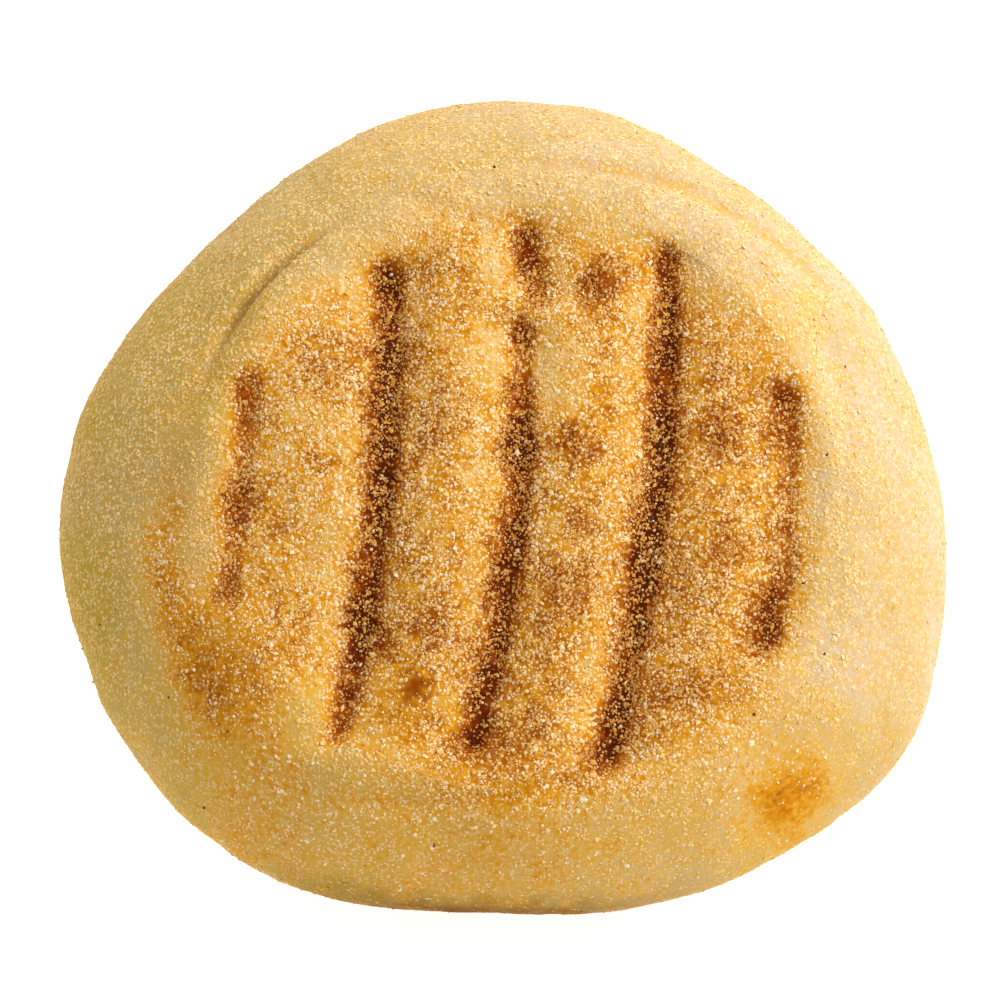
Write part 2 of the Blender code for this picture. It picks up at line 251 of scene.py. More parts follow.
# How a grain's corners vary, how it is stretched round, along and across the crust, how far it is tilted, in
# radians, and sunk or raised, as a share of its radius
CORNER_LIMITS = (0.72, 1.15)
STRETCH_LIMITS = ((1.0, 1.5), (0.8, 1.1), (0.22, 0.42))
TILT_SPREAD = 0.35
SUNK_LIMITS = (-0.15, 0.15)

# Tones of the grains, 0 for amber and 1 for white, drawn from beta curves: on pale dough, times a share and
# what the side towards the key light adds, whiter there partly as painted light and partly from more flour,
# and on dough browned from none to full between two levels of toast
PALE_TONES = (3.5, 1.2)
PALE_TONE_SHARE = (0.7, 0.19)
BROWNED_TONES = (1.0, 0.8)
BROWNED_FROM = (0.04, 0.2)

# Grains scorch between two levels of toast: limits of the burn, what it takes from the tone, and the share
# of the grains that keep their tone
SCORCHED_FROM = (0.32, 0.72)
BURN_LIMITS = (0.1, 0.85)
SCORCH_DULLS = 0.62
UNDULLED_SHARE = 0.25

# Where meal lies: its clumps, each (size, height, seed), and the least between them, the way to the floured
# side, the upper side's share all round and what that way adds, how much less lies towards the widest height
# and between which stations, what painted shade takes away, and bare places, each (x, y, radius, share taken)
CLUMPS = ((3.4, 0.4, 51), (1.2, 0.5, 52))
LEAST_MEAL = 0.05
FLOURED_WAY = math.radians(140.0)
FLOURED_SHARE = (0.68, 0.32)
THINNED = (0.3, 2.1, 2.45)
PAINTED_SHADE_BARES = 0.9
BARE_PLACES = (
    (29.6, -33.2, 3.6, 1.0), (-9.2, -22.3, 2.8, 1.0), (2.6, 24.5, 1.4, 0.5),
    (-24.0, -24.5, 6.0, 0.4), (27.0, -28.0, 9.0, 0.3), (-34.0, -15.0, 5.0, 0.4),
    (-33.5, 0.0, 5.0, 0.4), (0.0, -33.0, 9.0, 0.4), (-30.0, -18.0, 6.0, 0.5),
    (-14.0, -30.0, 6.0, 0.3), (-31.0, -31.0, 8.0, 0.35),
)

# Fine flour's shares on the face, the upper side, the lower side and the underside, and the share that
# browning takes away, from none to full between two levels of toast
FLOUR = (0.7, 1.05, 0.95, 0.7)
FLOUR_BURNS = (0.95, 0.3, 0.7)

# The dough is paler and greyer towards the key light's side, partly painted light and partly more flour, by
# what a millimetre of x and y adds, in slow waves (size, height, seed), and low down: by how much, and
# between which heights that goes
PALE_WAY = (0.425 / 45.0, 0.25 / 45.0)
PALE_WAVES = ((9.0, 0.35, 61),)
PALE_BELOW = (0.6, 8.0, 21.0)

# The discs of the upper and the lower half on the crust's bake map, each (centre across and up, radius), and
# the margin and a grain's size on the grains' map
BAKE_DISCS = ((0.36, 0.64, 0.355), (0.77, 0.23, 0.225))
MAP_MARGIN = 0.02
MAP_GRAIN = 0.004

# Sizes of the crust's mottles, half a wave of noise each, and of its specks, coarser than real fine flour
FINE_GRAIN = 0.3
MIDDLING_GRAIN = 1.3
SPECK = 0.4

# The camera looks down on the face from the near side; the floor and the sky are white
CAMERA_ELEVATION = math.radians(78.0)
CAMERA_DISTANCE = 900.0
SENSOR = 36.0
FRAME_WIDTH = 105.0
FRAME_OFFSET = (-0.315, 0.63)
WHITE = (1.0, 1.0, 1.0, 1.0)


def linear(code):
    """Linear colour of an sRGB hex value."""
    levels = [int(code[start : start + 2], 16) / 255 for start in (1, 3, 5)]
    return tuple(x / 12.92 if x <= 0.04045 else ((x + 0.055) / 1.055) ** 2.4 for x in levels)


def number(name, value, about, **kinds):
    """A number property with its kinds, such as unit, subtype and limits."""
    return bpy.props.FloatProperty(name=name, description=about, default=value, **kinds)


def length(name, size, about):
    """A length property whose default is given in millimetres."""
    return number(name, size * MM, about, min=0.0, unit="LENGTH", precision=5)


def colour(name, code, about):
    """A colour property whose default is given as an sRGB hex value."""
    return bpy.props.FloatVectorProperty(
        name=name, description=about, default=linear(code), min=0.0, max=1.0, subtype="COLOR"
    )


def share(name, value, about, most=1.0):
    """A plain number property from 0 to its most."""
    return number(name, value, about, min=0.0, max=most, subtype="FACTOR")


class DoughSettings(bpy.types.PropertyGroup):
    """Sizes of the dough and of what the grill pressed into it."""

    mean_radius: length("Mean radius", 45.0, "Radius of the round outline before its waves")
    equator_height: length("Widest height", 15.5, "Height at which the muffin is widest")
    face_edge_height: length("Face edge height", 29.2, "Height of the toasted face's edge")
    face_dome: length("Dome", 1.9, "Rise of the face from its edge to its middle")
    face_radius: length("Face radius", 31.0, "Radius of the flat toasted face")
    trough_depth: length("Trough depth", 1.5, "Depth of the broad trough under a grill bar")
    trough_width: length("Trough width", 3.8, "Half width of that trough")
    mark_depth: length("Mark depth", 0.5, "Further depth of the burnt line")
    mark_width: length("Mark width", 1.2, "Half width of the burnt line")


class CrustSettings(bpy.types.PropertyGroup):
    """Colours of the crust, from pale dough to char."""

    # Painted light, partly: the dough is darker and more saturated on the side away from the key light and
    # paler and greyer towards it, where it also has more flour
    shade_side: colour("Dough, left", "#caab49", "Pale dough on the left side")
    light_side: colour("Dough, right", "#d8bda1", "Pale dough on the right side, with more flour")
    mottle: colour("Mottle", "#fff0bc", "What the golden mottles leave of the dough's colour")
    # Painted shade: the dark colour that multiplies the dough where shade is painted on
    painted_shade: colour("Painted shade", "#5e4a32", "What dull places leave of the dough's colour")
    golden: colour("Golden", "#eeb848", "First browning")
    orange: colour("Orange", "#de940e", "Warm patches of the toasted face")
    toasted: colour("Toasted", "#b26306", "Plain toasted face")
    browned: colour("Browned", "#9a4804", "Fringe of the grill marks")
    dark: colour("Dark", "#6c2601", "Grill mark")
    char: colour("Char", "#4c1801", "Core of a grill mark")
    flour: colour("Flour", "#fce7b2", "Fine flour between the grains")
    roughness: share("Roughness", 0.68, "Roughness of the crust")
    bleed: share("Light bleed", 0.06, "Share of light that spreads under the crust")


class CornmealSettings(bpy.types.PropertyGroup):
    """Colours and coverage of the cornmeal and of the bran."""

    amber: colour("Amber", "#da942a", "Glassy yellow grains")
    yellow: colour("Yellow", "#f2be5c", "Common grains")
    cream: colour("Cream", "#fdd383", "Floury grains")
    white: colour("White", "#ffecca", "Palest grains")
    burnt: colour("Burnt", "#a85a10", "Grains that the grill burnt")
    bran: colour("Bran", "#3c2008", "Darkest of the bran flakes")
    husk: colour("Husk", "#7c5220", "Palest of the bran flakes")
    coverage: share("Coverage", 1.0, "Share of the grains that are laid")
    roughness: share("Roughness", 0.5, "Roughness of a broken grain")


class StageSettings(bpy.types.PropertyGroup):
    """Studio floor and lights."""

    floor: colour("Floor", "#f6f5f2", "Colour of the floor")
    glow: share("Floor glow", 0.72, "Light of the paper itself, which keeps the shadow pale", 4.0)
    surround: share("Surround", 0.525, "Strength of the even white light from all round", 4.0)
    key_power: number("Key power", 9.7, "Power of the soft key light", min=0.0, unit="POWER")
    key_colour: colour("Key colour", "#fffcf6", "Slightly warm white of the key light")
    key_width: length("Key width", 420.0, "Side of the square key light")
    key_distance: length("Key distance", 1100.0, "Distance of the key light from the muffin")
    key_turn: number("Key turn", math.radians(27.0), "Its turn from +X towards +Y", subtype="ANGLE")
    key_lift: number("Key lift", math.radians(40.0), "Its height as an angle", subtype="ANGLE")


def smooth(value, low, high):
    """0 below low, 1 above high, and the S curve 3s^2 - 2s^3 between them."""
    part = np.clip((value - low) / (high - low), 0.0, 1.0)
    return part * part * (3.0 - 2.0 * part)


def soft_noise(x, y, z, cell, seed, lattice_size=FINE_LATTICE):
    """Noise from -1 to 1: random values at the corners of cubes of side cell, blended by S curves."""
    lattice = np.random.default_rng(seed).uniform(-1.0, 1.0, (lattice_size,) * 3)
    total = 0.0
    places = [np.asarray(axis) / cell + lattice_size for axis in (x, y, z)]
    corners = [np.floor(place).astype(int) for place in places]
    parts = [smooth(place - corner, 0.0, 1.0) for place, corner in zip(places, corners)]
    for step in np.ndindex(2, 2, 2):
        weight = 1.0
        for part, forward in zip(parts, step):
            weight = weight * (part if forward else 1.0 - part)
        index = tuple((corner + forward) % lattice_size for corner, forward in zip(corners, step))
        total = total + weight * lattice[index]
    return total


def noise(x, y, z, layers, lattice_size=FINE_LATTICE):
    """Sum of height * soft_noise over layers of (cell, height, seed)."""
    return sum(rise * soft_noise(x, y, z, cell, seed, lattice_size) for cell, rise, seed in layers)


def bell(x, y, centre_x, centre_y, radius):
    """exp(-(d / radius)^2), with d the distance from the centre."""
    return np.exp(-((x - centre_x) ** 2 + (y - centre_y) ** 2) / radius**2)


def outline_radius(form, angle):
    """mean radius + the sum of height * cos(count * angle + turn) over the outline's waves."""
    waves = (height * np.cos(count * angle + math.radians(turn)) for count, height, turn in OUTLINE_WAVES)
    return form.mean_radius + sum(waves)


def face_radius(form, angle):
    """Distance from the axis to a circle beside it: c.u + sqrt(r^2 - |c|^2 + (c.u)^2), u the way outwards."""
    along = FACE_CENTRE[0] * np.cos(angle) + FACE_CENTRE[1] * np.sin(angle)
    aside = FACE_CENTRE[0] ** 2 + FACE_CENTRE[1] ** 2 - along**2
    return along + np.sqrt(form.face_radius**2 - aside)


def grill_bars(x, y):
    """For each bar, how hard it pressed at (x, y) and the distance from its middle line.

    The middle line runs from end to end with 4 * bow * t * (1 - t) added sideways, t from 0 to 1 along it.
    """
    for x_far, y_far, x_near, y_near, bow, hard in GRILL_MARKS:
        along = (y - y_near) / (y_far - y_near)
        middle = x_near + (x_far - x_near) * along + 4.0 * bow * along * (1.0 - along)
        begun, ended = (smooth(y, end - MARK_FADE / 2, end + MARK_FADE / 2) for end in (y_near, y_far))
        yield hard * begun * (1.0 - ended), x - middle


def grill_depth(form, x, y):
    """Sum over the bars of pressed * (trough * exp(-(a/w)^2) + mark * exp(-(a/v)^2)), a the way across."""
    depth = 0.0
    for pressed, across in grill_bars(x, y):
        trough = form.trough_depth * np.exp(-((across / form.trough_width) ** 2))
        mark = form.mark_depth * np.exp(-((across / form.mark_width) ** 2))
        depth = depth + pressed * (trough + mark)
    return depth


def turned(across, up, angle):
    """Both coordinates turned: a cos(t) - b sin(t) and a sin(t) + b cos(t)."""
    return across * np.cos(angle) - up * np.sin(angle), across * np.sin(angle) + up * np.cos(angle)


def under_turned(x, y):
    """Places on the underside in the frame of its own grill marks."""
    across, along = turned(x, y, -UNDERSIDE_TURN)
    return across + UNDERSIDE_SHIFT, along


def underside_depth(x, y):
    """Sum over the bars of depth * max(pressed * exp(-(a/w)^2) - flat, 0), a the distance across."""
    depth = 0.0
    for pressed, across in grill_bars(*under_turned(x, y)):
        mark = pressed * np.exp(-((across / UNDERSIDE_WIDTH) ** 2))
        depth = depth + UNDERSIDE_DEPTH * np.clip(mark - UNDERSIDE_FLAT, 0.0, None)
    return depth


def crease_arcs(x, y):
    """For each arc its depth at (x, y), its groove exp(-(o/w)^2) and its ridge exp(-((o + r)/v)^2).

    o is the way out of the arc, and the depth fades out past the arc's ends.
    """
    for centre_x, centre_y, radius, first, last, depth, width in CREASES:
        outwards = np.hypot(x - centre_x, y - centre_y) - radius
        turn = np.degrees(np.arctan2(y - centre_y, x - centre_x))
        turn = (turn - (first + last) / 2 + 180.0) % 360.0 - 180.0
        reach = (last - first) / 2
        inside = 1.0 - smooth(np.abs(turn), reach - CREASE_FADE, reach + CREASE_FADE)
        groove = np.exp(-((outwards / width) ** 2))
        ridge = np.exp(-(((outwards + RIDGE_OFFSET) / RIDGE_WIDTH) ** 2))
        yield depth * inside, groove, ridge


def profile(form, angle, station):
    """Distance from the axis and height of the plain form.

    Station 0 to 1 runs straight out over the underside, 1 to 2 and 2 to 3 follow quarters of a superellipse,
    |cos t|^(2/n) across and |sin t|^(2/n) up, and 3 to 4 runs in over a face domed by cos^2.
    """
    outline, face = outline_radius(form, angle), face_radius(form, angle)
    foot = FOOT_SHARE * outline
    low_power, high_power = 2.0 / LOWER_POWER, 2.0 / UPPER_POWER
    low_turn = np.clip(station - 1.0, 0.0, 1.0) * math.pi / 2
    high_turn = np.clip(station - 2.0, 0.0, 1.0) * math.pi / 2
    under = foot * np.clip(station, 0.0, 1.0)
    lower = foot + (outline - foot) * np.sin(low_turn) ** low_power
    upper = face + (outline - face) * np.clip(np.cos(high_turn), 0.0, 1.0) ** high_power
    over = face * np.clip(LAST_STATION - station, 0.0, 1.0)
    distance = np.select([station <= 1.0, station <= 2.0, station <= 3.0], [under, lower, upper], over)
    rise = form.equator_height * (1.0 - np.clip(np.cos(low_turn), 0.0, 1.0) ** low_power)
    rise = rise + (form.face_edge_height - form.equator_height) * np.sin(high_turn) ** high_power
    dome = form.face_dome * np.cos(math.pi / 2 * over / face) ** 2
    return distance, rise + np.where(station > 3.0, dome, 0.0)


def surface(form, angle, station):
    """Points of the crust in millimetres: the plain form with its relief added along the profile's normal."""
    distance, height = profile(form, angle, station)
    ahead, ahead_height = profile(form, angle, np.clip(station + STEP, 0.0, LAST_STATION))
    behind, behind_height = profile(form, angle, np.clip(station - STEP, 0.0, LAST_STATION))
    run, climb = ahead - behind, ahead_height - behind_height
    slope = np.hypot(run, climb)
    x, y = distance * np.cos(angle), distance * np.sin(angle)
    creased = sum(depth * (RIDGE_SHARE * ridge - groove) for depth, groove, ridge in crease_arcs(x, y))
    pressed = creased - grill_depth(form, x, y)
    pressed = pressed + sum(rise * bell(x, y, *place) for *place, rise in SWELLINGS)
    uneven = noise(x, y, height, LUMPS, LUMP_LATTICE) + noise(x, y, height, SKIN)
    relief = smooth(station, *FACE_RELIEF) * pressed + smooth(station, *SIDE_RELIEF) * uneven
    distance = distance + climb / slope * relief
    under = underside_depth(x, y) + UNDERSIDE_LIFT
    height = height - run / slope * relief + under * (1.0 - smooth(station, 1.0, SIDE_RELIEF[0]))
    return np.stack([distance * np.cos(angle), distance * np.sin(angle), height], axis=-1)


def front_share(x, y):
    """1 at the front and 0 away from it, by the turn from the front's middle."""
    middle, *fading = FRONT
    turn = np.abs((np.degrees(np.arctan2(y, x)) - middle + 180.0) % 360.0 - 180.0)
    return 1.0 - smooth(turn, *fading)


def rim_toast(x, y, station, rough):
    """Browning of the underside's rim: a level below a ragged edge, both higher at the front."""
    front = front_share(x, y)
    level, edge, fade = (plain + added * front for plain, added in (RIM_TOAST, RIM_EDGE, RIM_FADE))
    edge = edge + RIM_RAGGED[1] * rough
    shown = smooth(station, *RIM_BEGINS) * (1.0 - smooth(station, edge - fade, edge + fade))
    return level * shown * (1.0 + RIM_RAGGED[0] * rough)


def toast_level(x, y, z, station):
    """How toasted the crust is, 0 for pale dough and 1 for char.

    The face's level falls off past its edge; each bar adds wide bands, level * exp(-((a - shift)/w)^2),
    and a narrow core, core * exp(-|a/v|^edge), and noise makes all of it ragged. Creases add a little by
    the square of their groove, a browned line that also paints their shade, spots a bell each, and the
    underside has a browned rim.
    """
    below = station < UNDER_ENDS
    turned_x, turned_y = under_turned(x, y)
    face_x, face_y = np.where(below, turned_x, x), np.where(below, turned_y, y)
    rough = noise(x, y, z, RAGGED)
    reach = np.hypot(face_x - FACE_CENTRE[0], face_y - FACE_CENTRE[1]) / TOAST_REACH
    reach = np.where(below, np.hypot(x, y) / UNDER_TOAST_REACH, reach) + TOAST_EDGE_RAGGED * rough
    plain = 1.0 - smooth(reach, *TOAST_EDGE)
    level = FACE_TOAST * plain + rough * (LEVEL_RAGGED[0] + LEVEL_RAGGED[1] * plain)
    core, core_width, core_edge = CORE
    for pressed, across in grill_bars(face_x, face_y):
        for rise, width, shift in BANDS:
            level = level + pressed * rise * np.exp(-(((across - shift) / width) ** 2))
        pressure = pressed**CORE_PRESSURE * (1.0 + CORE_RAGGED[0] * rough)
        ragged = np.abs(across + CORE_RAGGED[1] * rough) / core_width
        level = level + pressure * core * np.exp(-(ragged**core_edge))
    # Creases: a browned line that also stands in for the shade in the groove, as painted shade
    creased = sum(np.clip(depth, 0.0, 1.0) * groove**2 for depth, groove, _ in crease_arcs(x, y))
    level = level + np.where(below, 0.0, CREASE_SHADE_TOAST * creased)
    spots = sum(rise * bell(x, y, *place) for *place, rise in TOASTED_SPOTS)
    level = level + spots * smooth(station, *SPOTS_BEGIN)
    return np.clip(np.maximum(level, rim_toast(x, y, station, rough)), 0.0, 1.0)


def painted_shade_level(x, y, station, rough):
    """How much painted shade darkens the dough of the side, from 0 to 1.

    The front has a level between two fades of the station, which noise makes ragged: painted shade where the
    lower front side curves away under. Above the widest height, a deep crease adds what its depth exceeds a
    first one by, times the square of its groove, as painted shade in the groove, and a few broad places on
    the left slope add a bell of painted shade.
    """
    most, begun, ended = FRONT_PAINTED_SHADE
    moved = station + RIM_RAGGED[1] * rough
    band = most * front_share(x, y) * smooth(moved, *begun) * (1.0 - smooth(moved, *ended))
    band = band * (1.0 + RIM_RAGGED[0] * rough)
    first, gain = CREASE_PAINTED_SHADE
    deep = sum(np.clip(depth - first, 0.0, 1.0) * groove**2 for depth, groove, _ in crease_arcs(x, y))
    places = sum(rise * bell(x, y, *place) for *place, rise in PAINTED_SHADE_PLACES)
    return np.clip(band + (gain * deep + places) * (station > WIDEST), 0.0, 1.0)


def side_tone(x, y, z):
    """0 on the side away from the key light and 1 on the side towards it and low down, with slow noise
    between them: partly painted light and partly more flour on the lit side.
    """
    across = PALE_WAY[0] * x + PALE_WAY[1] * y
    low = PALE_BELOW[0] * (1.0 - smooth(z, *PALE_BELOW[1:]))
    return np.clip(0.5 + across + low + noise(x, y, z, PALE_WAVES), 0.0, 1.0)


def millimetres(settings):
    """The lengths of a settings group in millimetres."""
    return SimpleNamespace(**{name: getattr(settings, name) / MM for name in settings.__annotations__})


def crust_grid():
    """Angles and stations of the crust's grid, as a row and a column."""
    angle = np.arange(SECTORS) * 2 * math.pi / SECTORS
    rings = [np.linspace(first, first + 1.0, count + 1)[1:] for first, count in enumerate(RINGS)]
    return angle[None, :], np.concatenate(rings)[:-1, None]


def centring(form):
    """How far the dough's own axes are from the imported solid's, so that both boxes have one middle."""
    angle, station = crust_grid()
    points = surface(form, angle, station).reshape(-1, 3)
    low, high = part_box(NODE)
    middle = (np.array(low) + np.array(high)) / 2 / MM
    shift = middle - (points.min(axis=0) + points.max(axis=0)) / 2
    shift[2] = 0.0
    return shift


def mesh_object(name, points, faces, material, smooth_shading):
    """A new object at the origin from points in metres and faces as rows of corner numbers of one length."""
    mesh = bpy.data.meshes.new(name)
    count, corners = faces.shape
    mesh.vertices.add(len(points))
    mesh.vertices.foreach_set("co", points.astype(np.float32).ravel())
    mesh.loops.add(count * corners)
    mesh.loops.foreach_set("vertex_index", faces.astype(np.int32).ravel())
    mesh.polygons.add(count)
    mesh.polygons.foreach_set("loop_start", np.arange(count, dtype=np.int32) * corners)
    mesh.polygons.foreach_set("use_smooth", np.full(count, smooth_shading))
    mesh.update(calc_edges=True)
    mesh.validate()
    mesh.materials.append(material)
    made = bpy.data.objects.new(name, mesh)
    bpy.context.scene.collection.objects.link(made)
    return made


def add_attribute(mesh, name, values):
    """One number for each point of the mesh, which its material reads by name."""
    attribute = mesh.attributes.new(name, "FLOAT", "POINT")
    attribute.data.foreach_set("value", np.asarray(values, np.float32).ravel())


def add_bake_map(mesh, places):
    """A UV map with one place for each corner, in the order of the mesh's loops."""
    layer = mesh.uv_layers.new(name=BAKE_MAP, do_init=False)
    layer.uv.foreach_set("vector", places.astype(np.float32).ravel())


def carry(piece):
    """Lets the piece ride with the muffin."""
    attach(piece, BODY)


def fill(node, inputs):
    """Inputs of a node by name or number, each a socket to link or a value to set on the node's own."""
    for key, value in inputs.items():
        if isinstance(value, bpy.types.NodeSocket):
            node.id_data.links.new(value, node.inputs[key])
        else:
            node.inputs[key].default_value = value


def add_node(tree, kind, inputs=None, stops=(), **settings):
    """Adds one node, fills its inputs and gives its outputs.

    Settings are its properties, and stops, each (place, linear colour), fill a colour ramp.
    """
    node = tree.nodes.new(kind)
    for name, value in settings.items():
        setattr(node, name, value)
    fill(node, inputs or {})
    for index, (place, shade) in enumerate(stops):
        elements = node.color_ramp.elements
        element = elements[index] if index < len(elements) else elements.new(place)
        element.position, element.color = place, (*shade, 1.0)
    return node.outputs


def new_material(name):
    """A material, the function that adds a node to its tree, and its Principled shader."""
    made = bpy.data.materials.new(name)
    made.use_nodes = True
    return made, partial(add_node, made.node_tree), made.node_tree.nodes["Principled BSDF"]


def crust_material(colours):
    """Griddle-baked bread crust: a dry, dull skin that light enters a little, pale where no iron touched it.

    The eye sees soft cream dough, a toasted face mottled in a few millimetres, burnt lines with ragged edges,
    and specks of flour finer than the grains.
    """
    made, node, shader = new_material("griddle_baked_crust")
    place = node("ShaderNodeTexCoord")["Object"]
    names = ("toast", "tone", "flour", "shade_paint")
    attributes = (node("ShaderNodeAttribute", attribute_name=name) for name in names)
    toast, tone, flour, shade_paint = (attribute["Fac"] for attribute in attributes)
    scales = (0.5 / (size * MM) for size in (FINE_GRAIN, MIDDLING_GRAIN))
    noises = ({"Vector": place, "Scale": scale, "Detail": 2.0} for scale in scales)
    fine, middling = (node("ShaderNodeTexNoise", inputs)["Fac"] for inputs in noises)
    uneven = node("ShaderNodeMix", {0: 0.35, 2: fine, 3: middling})[0]

    # Toast with ragged mottles: a little on bare dough, more the browner it is
    limits = {"From Min": 0.25, "From Max": 0.75, "To Min": -0.3, "To Max": 0.3}
    wobble = node("ShaderNodeMapRange", {"Value": uneven, **limits})[0]
    strength = node("ShaderNodeMapRange", {"Value": toast, "To Min": 0.3, "To Max": 1.0})[0]
    wobbled = {0: wobble, 1: strength, 2: toast}
    level = node("ShaderNodeMath", wobbled, operation="MULTIPLY_ADD", use_clamp=True)[0]

    # Bare dough from one side's colour to the other's, in golden mottles
    sides = {0: tone, 6: (*colours.shade_side, 1.0), 7: (*colours.light_side, 1.0)}
    dough = node("ShaderNodeMix", sides, data_type="RGBA")[2]
    patch = node("ShaderNodeMapRange", {"Value": uneven, "From Min": 0.42, "From Max": 0.58})[0]
    mottled = {0: patch, 6: dough, 7: (*colours.mottle, 1.0)}
    dough = node("ShaderNodeMix", mottled, data_type="RGBA", blend_type="MULTIPLY")[2]

    # Browning over it
    shades = (colours.golden, colours.orange, colours.toasted, colours.browned, colours.dark, colours.char)
    stops = zip((0.14, 0.3, 0.46, 0.6, 0.8, 1.0), shades)
    browned = node("ShaderNodeValToRGB", {"Fac": level}, stops)["Color"]
    browning = node("ShaderNodeMapRange", {"Value": level, "From Min": 0.02, "From Max": 0.24})[0]
    baked = node("ShaderNodeMix", {0: browning, 6: dough, 7: browned}, data_type="RGBA")[2]

    # Specks of flour, round and of uneven strength, thicker in patches
    speck = node("ShaderNodeTexVoronoi", {"Vector": place, "Scale": 1.0 / (SPECK * MM)})
    dot = node("ShaderNodeMapRange", {"Value": speck["Distance"], "From Min": 0.55, "From Max": 0.25})[0]
    some = node("ShaderNodeSeparateColor", {"Color": speck["Color"]})[0]
    some = node("ShaderNodeMapRange", {"Value": some, "From Min": 0.3, "From Max": 0.75})[0]
    limits = {"From Min": 0.36, "From Max": 0.6, "To Min": 0.5, "To Max": 1.4}
    patches = node("ShaderNodeMapRange", {"Value": middling, **limits})[0]
    film = flour
    for part in (dot, some, patches):
        film = node("ShaderNodeMath", {0: film, 1: part}, operation="MULTIPLY")[0]
    dusted = node("ShaderNodeMix", {0: film, 6: baked, 7: (*colours.flour, 1.0)}, data_type="RGBA")[2]
    # Painted shade: multiplies the colour darker at the lower front edge, in deep creases and on the left
    # slope
    darkened = {0: shade_paint, 6: dusted, 7: (*colours.painted_shade, 1.0)}
    tint = node("ShaderNodeMix", darkened, data_type="RGBA", blend_type="MULTIPLY")[2]
    bump = node("ShaderNodeBump", {"Height": uneven, "Distance": 0.1 * MM, "Strength": 0.9})[0]
    finish = {
        "Base Color": tint,
        "Normal": bump,
        "Roughness": colours.roughness,
        "Specular IOR Level": 0.04,
        "Subsurface Weight": colours.bleed,
        "Subsurface Radius": (1.0, 0.6, 0.3),
        "Subsurface Scale": 0.8 * MM,
    }
    fill(shader, finish)
    return made


def cornmeal_material(colours):
    """Ground maize: broken glassy grains from amber to floury white, with small flat facets that glint.

    Each grain lies on its map at (tone, burn), so one grain has one colour. The eye sees a sandy sparkle.
    """
    made, node, shader = new_material("ground_cornmeal")
    place = node("ShaderNodeUVMap", uv_map=BAKE_MAP)[0]
    parts = node("ShaderNodeSeparateXYZ", {0: place})
    stops = ((0.0, colours.amber), (0.3, colours.yellow), (0.65, colours.cream), (1.0, colours.white))
    clean = node("ShaderNodeValToRGB", {"Fac": parts["X"]}, stops)["Color"]
    tint = node("ShaderNodeMix", {0: parts["Y"], 6: clean, 7: (*colours.burnt, 1.0)}, data_type="RGBA")[2]
    fill(shader, {"Base Color": tint, "Roughness": colours.roughness, "Specular IOR Level": 0.15})
    return made


def bran_material(colours):
    """Wheat bran: thin dull flakes of husk, which the eye sees as small dark freckles in the pale dough."""
    made, node, shader = new_material("wheat_bran")
    place = node("ShaderNodeTexCoord")["Object"]
    streak = node("ShaderNodeTexNoise", {"Vector": place, "Scale": 0.5 / (BRAN_STREAK * MM)})["Fac"]
    streaked = {0: streak, 6: (*colours.bran, 1.0), 7: (*colours.husk, 1.0)}
    tint = node("ShaderNodeMix", streaked, data_type="RGBA")[2]
    fill(shader, {"Base Color": tint, "Roughness": 0.7, "Specular IOR Level": 0.1})
    return made


def add_crust(form, colours):
    """The crust as one closed surface of (angle, station), with both poles closed by fans."""
    angle, station = crust_grid()
    rings = surface(form, angle, station)
    count = len(rings)
    middles = surface(form, np.zeros(2), np.array([STEP, LAST_STATION - STEP]))
    middles[:, :2] = 0.0
    points = np.concatenate([rings.reshape(-1, 3), middles])
    here = np.arange(SECTORS)
    after = (here + 1) % SECTORS
    low = np.arange(count - 1)[:, None] * SECTORS
    high = low + SECTORS
    quads = np.stack([low + here, low + after, high + after, high + here], axis=-1).reshape(-1, 4)
    last = (count - 1) * SECTORS
    under = np.stack([np.full(SECTORS, count * SECTORS), after, here], axis=1)
    over = np.stack([last + here, last + after, np.full(SECTORS, count * SECTORS + 1)], axis=1)
    faces = np.concatenate([quads[:, [0, 1, 2]], quads[:, [0, 2, 3]], under, over])
    stations = np.concatenate([np.broadcast_to(station, rings.shape[:2]).ravel(), [0.0, LAST_STATION]])
    crust = mesh_object("toasted_crust", (points + centring(form)) * MM, faces, crust_material(colours), True)
    x, y, z = points.T
    level = toast_level(x, y, z, stations)
    taken, *burns = FLOUR_BURNS
    kept = 1.0 - taken * smooth(level, *burns)
    add_attribute(crust.data, "toast", level)
    # Side tone: partly painted light, paler towards the key light
    add_attribute(crust.data, "tone", side_tone(x, y, z))
    # Painted shade, darker at the lower front edge, in deep creases and on the left slope
    add_attribute(crust.data, "shade_paint", painted_shade_level(x, y, stations, noise(x, y, z, RAGGED)))
    add_attribute(crust.data, "flour", kept * dusting(FLOUR, x, y, stations))
    add_bake_map(crust.data, disc_places(points, stations, faces))
    return crust


def disc_places(points, stations, faces):
    """Two discs, the upper half larger: out by the way along the profile from the pole, round by azimuth."""
    turn = np.arctan2(points[:, 1], points[:, 0])
    places = []
    for (centre_x, centre_y, radius), reach in zip(BAKE_DISCS, (LAST_STATION - stations, stations)):
        out = radius * np.clip(reach, 0.0, 2.0) / 2.0
        places.append(np.stack([centre_x + out * np.cos(turn), centre_y + out * np.sin(turn)], axis=1))
    upper = stations[faces].mean(axis=1) > WIDEST
    return np.where(upper[:, None, None], places[0][faces], places[1][faces]).reshape(-1, 2)


